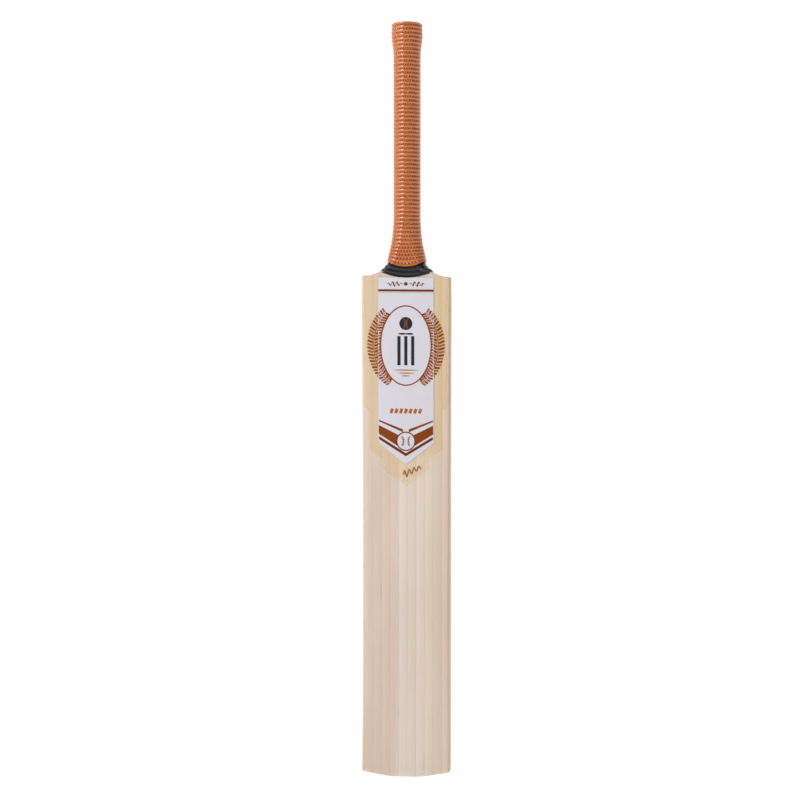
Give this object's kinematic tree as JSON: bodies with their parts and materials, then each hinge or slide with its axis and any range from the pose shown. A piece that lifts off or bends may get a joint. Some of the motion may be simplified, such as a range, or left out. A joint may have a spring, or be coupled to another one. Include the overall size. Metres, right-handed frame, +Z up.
{
  "type": "cricket bat",
  "caption": "Cricket bat with a willow blade, a spliced cane handle under a ringed rubber grip, dark neck binding, a face label and a clear face film.",
  "frame": {"origin": "on the flat in the middle of the toe, in line with the handle's axis", "axes": "+Z up the handle's axis from toe to grip top, -Y out of the hitting face, +X to the right seen from the face"},
  "size_m": [0.1044, 0.0671, 0.876],
  "materials": {
    "willow": "bare, lightly oiled wood with straight grain",
    "cane": "sawn and glued cane",
    "spring_rubber": "matt",
    "twine": "wound waxed thread",
    "binding": "glossy wound tape",
    "grip_rubber": "satin moulded rubber",
    "label": "smooth coated paper",
    "film": "clear adhesive film"
  },
  "bodies": {
    "root": {"blade": "willow", "cane_left_outer_front": "cane", "cane_left_outer_middle": "cane", "cane_left_outer_back": "cane", "cane_left_inner_front": "cane", "cane_left_inner_middle": "cane", "cane_left_inner_back": "cane", "cane_right_inner_front": "cane", "cane_right_inner_middle": "cane", "cane_right_inner_back": "cane", "cane_right_outer_front": "cane", "cane_right_outer_middle": "cane", "cane_right_outer_back": "cane", "spring_left": "spring_rubber", "spring_centre": "spring_rubber", "spring_right": "spring_rubber", "twine_sleeve": "twine", "neck_binding": "binding", "rubber_grip": "grip_rubber", "face_label": "label", "clear_film": "film"}
  },
  "joints": []
}
